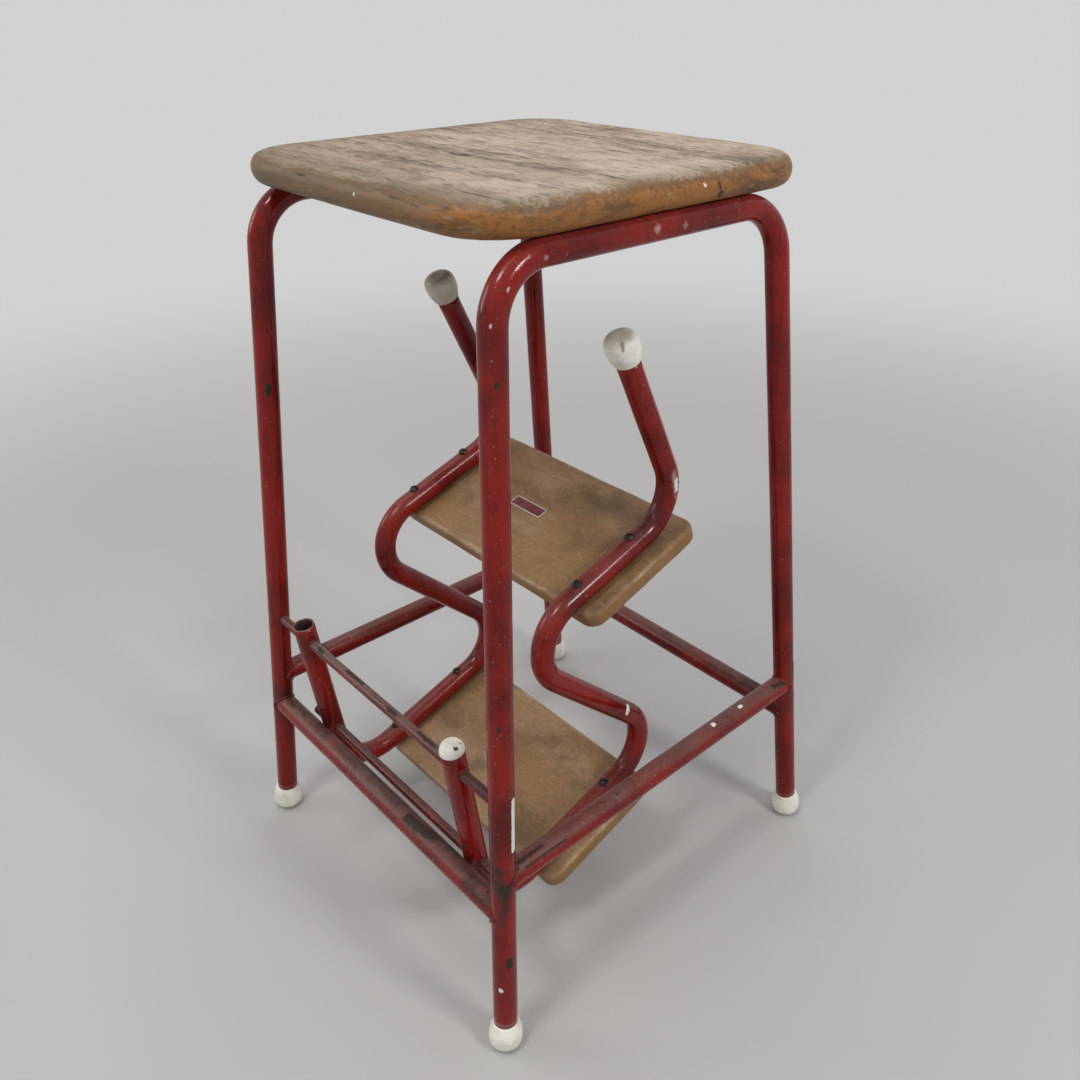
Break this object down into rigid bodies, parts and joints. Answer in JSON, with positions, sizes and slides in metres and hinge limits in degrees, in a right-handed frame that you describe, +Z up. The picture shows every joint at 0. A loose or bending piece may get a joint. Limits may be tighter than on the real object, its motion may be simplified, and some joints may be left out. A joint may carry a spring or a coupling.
{
  "type": "folding step stool",
  "caption": "Kitchen stool with a square wooden seat on splayed bent-tube legs and wooden steps on zigzag tube rails that swing out from inside the frame.",
  "frame": {"origin": "centre of the four feet on the floor", "axes": "+Z up; -Y is the front, where the steps swing out to; +X is to the right for someone who faces the front"},
  "size_m": [0.405, 0.4126, 0.674],
  "materials": {
    "enamel": "gloss oxblood enamel, chipped and scuffed",
    "rod": "worn dark maroon enamel",
    "screw_steel": "dark, oxidised",
    "cap_plastic": "ivory, grimy",
    "seat_wood": "bare and weathered on top, old varnish on the edge",
    "step_wood": "mid-brown varnish, scuffed",
    "plate_paint": "blank, faded red with a pale border"
  },
  "bodies": {
    "frame": {"left_side_frame": "enamel", "right_side_frame": "enamel", "front_stretcher": "enamel", "rear_stretcher": "enamel", "left_stretcher": "enamel", "right_stretcher": "enamel", "seat": "seat_wood", "seat_screws": "screw_steel", "front_left_foot": "cap_plastic", "front_right_foot": "cap_plastic", "rear_left_foot": "cap_plastic", "rear_right_foot": "cap_plastic"},
    "steps": {"left_rail": "enamel", "right_rail": "enamel", "pivot_rod": "rod", "tie_rod": "rod", "first_step": "step_wood", "second_step": "step_wood", "first_step_screws": "screw_steel", "second_step_screws": "screw_steel", "left_rail_foot": "cap_plastic", "right_rail_foot": "cap_plastic", "right_post_cap": "cap_plastic", "blank_plate": "plate_paint"}
  },
  "joints": [
    {"name": "steps_swing", "type": "hinge", "parent": "frame", "child": "steps", "pos_m": [0, -0.17184, 0.242], "axis": [1, 0, 0], "range_deg": [0, 161.15]}
  ]
}
